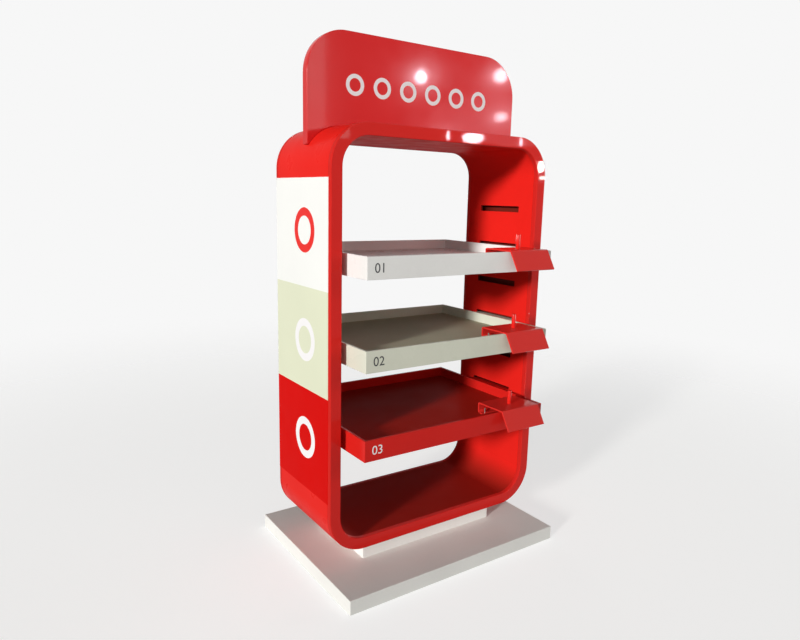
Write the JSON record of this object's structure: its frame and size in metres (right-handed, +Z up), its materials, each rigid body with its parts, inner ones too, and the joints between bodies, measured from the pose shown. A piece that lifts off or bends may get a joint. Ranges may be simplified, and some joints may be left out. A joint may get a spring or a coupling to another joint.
{
  "type": "display stand",
  "caption": "Free-standing shop display: a base and plinth carry an open ring with rounded corners, trays hung in side slots, bent brackets with pegs, and a header board.",
  "frame": {"origin": "centre of the base board's underside, on the floor below the ring's centre", "axes": "+X to the display's right seen from the front, -Y the front with the brackets, +Z up"},
  "size_m": [0.904, 0.697, 1.817],
  "materials": {
    "base_white": "satin paint on board",
    "plinth_white": "satin paint on board",
    "ring_red": "gloss paint on board",
    "header_red": "gloss paint on board",
    "tray_white": "gloss paint on board",
    "tray_cream": "gloss paint on board",
    "tray_red": "gloss paint on board",
    "bracket_red": "gloss bent sheet",
    "peg_red": "gloss",
    "print_panel": "printed sheet",
    "raw_wood": "raw",
    "zinc_steel": "zinc plated"
  },
  "bodies": {
    "root": {"back_frame": "ring_red", "back_rib": "raw_wood", "base_board": "base_white", "base_bolts": "zinc_steel", "bottom_block": "raw_wood", "bottom_liner": "ring_red", "front_frame": "ring_red", "front_rib": "raw_wood", "header_board": "header_red", "header_dowels": "raw_wood", "left_graphic": "print_panel", "left_liner": "ring_red", "lower_bracket": "bracket_red", "lower_bracket_screws": "zinc_steel", "lower_peg": "peg_red", "lower_tray_back_wall": "tray_red", "lower_tray_floor": "tray_red", "lower_tray_front_wall": "tray_red", "lower_tray_left_lug": "tray_red", "lower_tray_left_wall": "tray_red", "lower_tray_right_lug": "tray_red", "lower_tray_right_wall": "tray_red", "middle_bracket": "bracket_red", "middle_bracket_screws": "zinc_steel", "middle_peg": "peg_red", "middle_tray_back_wall": "tray_cream", "middle_tray_floor": "tray_cream", "middle_tray_front_wall": "tray_cream", "middle_tray_left_lug": "tray_cream", "middle_tray_left_wall": "tray_cream", "middle_tray_right_lug": "tray_cream", "middle_tray_right_wall": "tray_cream", "outer_skin": "ring_red", "plinth_block": "plinth_white", "right_graphic": "print_panel", "right_liner": "ring_red", "top_block": "raw_wood", "top_bracket": "bracket_red", "top_bracket_screws": "zinc_steel", "top_liner": "ring_red", "top_peg": "peg_red", "top_tray_back_wall": "tray_white", "top_tray_floor": "tray_white", "top_tray_front_wall": "tray_white", "top_tray_left_lug": "tray_white", "top_tray_left_wall": "tray_white", "top_tray_right_lug": "tray_white", "top_tray_right_wall": "tray_white"}
  },
  "joints": []
}
